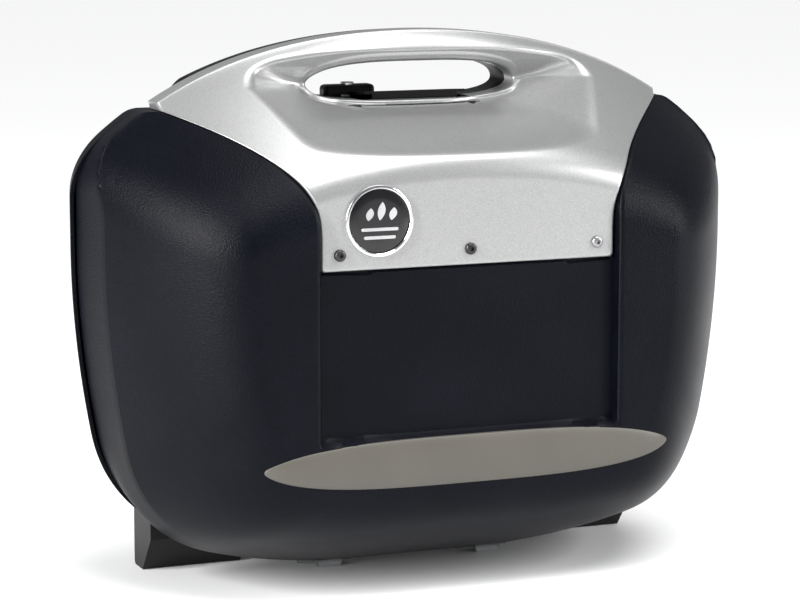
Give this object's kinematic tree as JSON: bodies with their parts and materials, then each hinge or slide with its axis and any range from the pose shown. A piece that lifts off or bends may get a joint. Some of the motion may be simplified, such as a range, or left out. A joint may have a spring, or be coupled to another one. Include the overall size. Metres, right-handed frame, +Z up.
{
  "type": "motorcycle side case",
  "caption": "Hard-shell motorcycle side case with a deep hinged lid, a carrying arch with a pull latch and key lock, rack feet and a quarter-turn rack bolt.",
  "frame": {"origin": "centre of the bounding box's underside, level with the soles of the two rack feet", "axes": "+X along the case's length, -Y out through the lid's face, +Y towards the motorcycle, +Z up"},
  "size_m": [0.4938, 0.213, 0.3858],
  "materials": {
    "badge_bezel": "chromed ring",
    "badge_disc": null,
    "base_shell": "fine-grained black ABS",
    "bumper_strip": "warm grey moulded plastic",
    "foot_left": "black glass-filled nylon",
    "foot_right": "black glass-filled nylon",
    "front_panel": "satin silver metallic paint on moulded plastic",
    "hinge_base_left": "zinc-plated steel",
    "hinge_base_right": "zinc-plated steel",
    "hinge_lid_left": "zinc-plated steel",
    "hinge_lid_right": "zinc-plated steel",
    "hinge_pin_left": "zinc-plated steel",
    "hinge_pin_right": "zinc-plated steel",
    "latch_keeper": "zinc-plated steel",
    "latch_lever": "black nylon",
    "latch_pin": "zinc-plated steel",
    "lid_shell": "fine-grained black ABS",
    "lock_cylinder": "chromed lock barrel",
    "lock_housing": "black nylon",
    "panel_screw_center": "blackened steel",
    "panel_screw_left": "blackened steel",
    "panel_screw_right": "blackened steel",
    "plate_screw_1": "zinc-plated steel",
    "plate_screw_2": "zinc-plated steel",
    "plate_screw_3": "zinc-plated steel",
    "plate_screw_4": "zinc-plated steel",
    "rack_bolt": "zinc-plated steel",
    "rack_bolt_housing": "black powder-coated steel",
    "rack_hook_left": "black powder-coated steel",
    "rack_hook_right": "black powder-coated steel",
    "rack_knob": "black nylon",
    "rack_plate": "black powder-coated steel",
    "rear_handle_half": "fine-grained black ABS",
    "rim_gasket": "extruded rubber seal",
    "strap_anchor_left_high": "black nylon",
    "strap_anchor_left_low": "black nylon",
    "strap_anchor_right_high": "black nylon",
    "strap_anchor_right_low": "black nylon",
    "strap_buckle_left": "black nylon",
    "strap_buckle_right": "black nylon",
    "strap_left": "black woven webbing",
    "strap_right": "black woven webbing"
  },
  "bodies": {
    "base": {"base_shell": "base_shell", "foot_left": "foot_left", "foot_right": "foot_right", "hinge_base_left": "hinge_base_left", "hinge_base_right": "hinge_base_right", "hinge_pin_left": "hinge_pin_left", "hinge_pin_right": "hinge_pin_right", "latch_pin": "latch_pin", "lock_housing": "lock_housing", "plate_screw_1": "plate_screw_1", "plate_screw_2": "plate_screw_2", "plate_screw_3": "plate_screw_3", "plate_screw_4": "plate_screw_4", "rack_bolt_housing": "rack_bolt_housing", "rack_hook_left": "rack_hook_left", "rack_hook_right": "rack_hook_right", "rack_plate": "rack_plate", "rear_handle_half": "rear_handle_half", "rim_gasket": "rim_gasket", "strap_anchor_left_high": "strap_anchor_left_high", "strap_anchor_left_low": "strap_anchor_left_low", "strap_anchor_right_high": "strap_anchor_right_high", "strap_anchor_right_low": "strap_anchor_right_low", "strap_buckle_left": "strap_buckle_left", "strap_buckle_right": "strap_buckle_right", "strap_left": "strap_left", "strap_right": "strap_right"},
    "lid": {"lid_shell": "lid_shell", "front_panel": "front_panel", "bumper_strip": "bumper_strip", "badge_bezel": "badge_bezel", "badge_disc": "badge_disc", "panel_screw_left": "panel_screw_left", "panel_screw_center": "panel_screw_center", "panel_screw_right": "panel_screw_right", "latch_keeper": "latch_keeper", "hinge_lid_left": "hinge_lid_left", "hinge_lid_right": "hinge_lid_right"},
    "latch": {"latch_lever": "latch_lever"},
    "lock": {"lock_cylinder": "lock_cylinder"},
    "rack_knob": {"rack_knob": "rack_knob"},
    "rack_bolt": {"rack_bolt": "rack_bolt"}
  },
  "joints": [
    {"name": "lid_hinge", "type": "hinge", "parent": "base", "child": "lid", "pos_m": [0, 0.0256, 0.0046], "axis": [1, 0, 0], "range_deg": [0, 85]},
    {"name": "latch_pivot", "type": "hinge", "parent": "base", "child": "latch", "pos_m": [0.003, 0.04, 0.337], "axis": [-1, 0, 0], "range_deg": [-4.5, 40]},
    {"name": "lock_turn", "type": "hinge", "parent": "base", "child": "lock", "pos_m": [-0.033, 0.051, 0.34], "axis": [0, 0, 1], "range_deg": [0, 90]},
    {"name": "rack_knob_turn", "type": "hinge", "parent": "base", "child": "rack_knob", "pos_m": [0, 0.0902, 0.215], "axis": [0, 1, 0], "range_deg": [0, 90]},
    {"name": "rack_bolt_slide", "type": "slide", "parent": "base", "child": "rack_bolt", "axis": [0, 0, -1], "range_m": [0, 0.008]}
  ],
  "couplings": [
    {"joint": "rack_bolt_slide", "follows": "rack_knob_turn", "m_per_rad": 0.00509}
  ]
}
